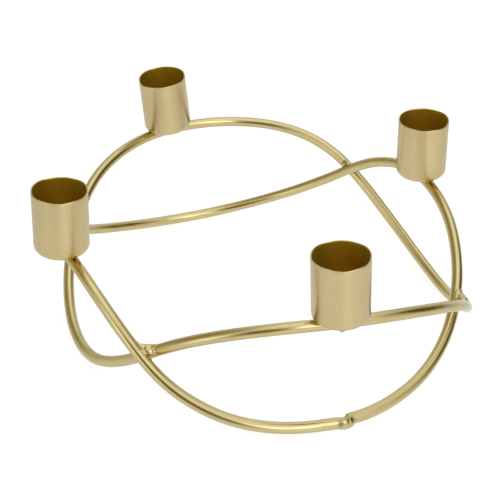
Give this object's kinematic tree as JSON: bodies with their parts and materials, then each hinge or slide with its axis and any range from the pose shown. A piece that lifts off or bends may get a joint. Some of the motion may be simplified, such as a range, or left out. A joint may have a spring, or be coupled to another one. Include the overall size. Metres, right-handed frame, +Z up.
{
  "type": "candle holder",
  "caption": "Low wreath-shaped candle holder: two waved wire rings welded across each other, with an open drawn cup on each crest.",
  "frame": {"origin": "on the table, in the middle of the space that the holder takes up", "axes": "+Z up, +X to the right and +Y to the back, each about through a cup"},
  "size_m": [0.2022, 0.214, 0.0867],
  "materials": {
    "wire": "round steel wire in a satin pale gold lacquer",
    "cup": "drawn steel sheet in a satin pale gold lacquer, plain and darker inside",
    "weld": "weld metal under the same lacquer, tinted brown by heat"
  },
  "bodies": {
    "root": {"wire_ring_front_back": "wire", "wire_ring_left_right": "wire", "cup_back": "cup", "cup_front": "cup", "cup_left": "cup", "cup_right": "cup", "weld_back_left": "weld", "weld_back_right": "weld", "weld_cup_back_inner": "weld", "weld_cup_back_outer": "weld", "weld_cup_front_inner": "weld", "weld_cup_front_outer": "weld", "weld_cup_left_inner": "weld", "weld_cup_left_outer": "weld", "weld_cup_right_inner": "weld", "weld_cup_right_outer": "weld", "weld_front_left": "weld", "weld_front_right": "weld"}
  },
  "joints": []
}
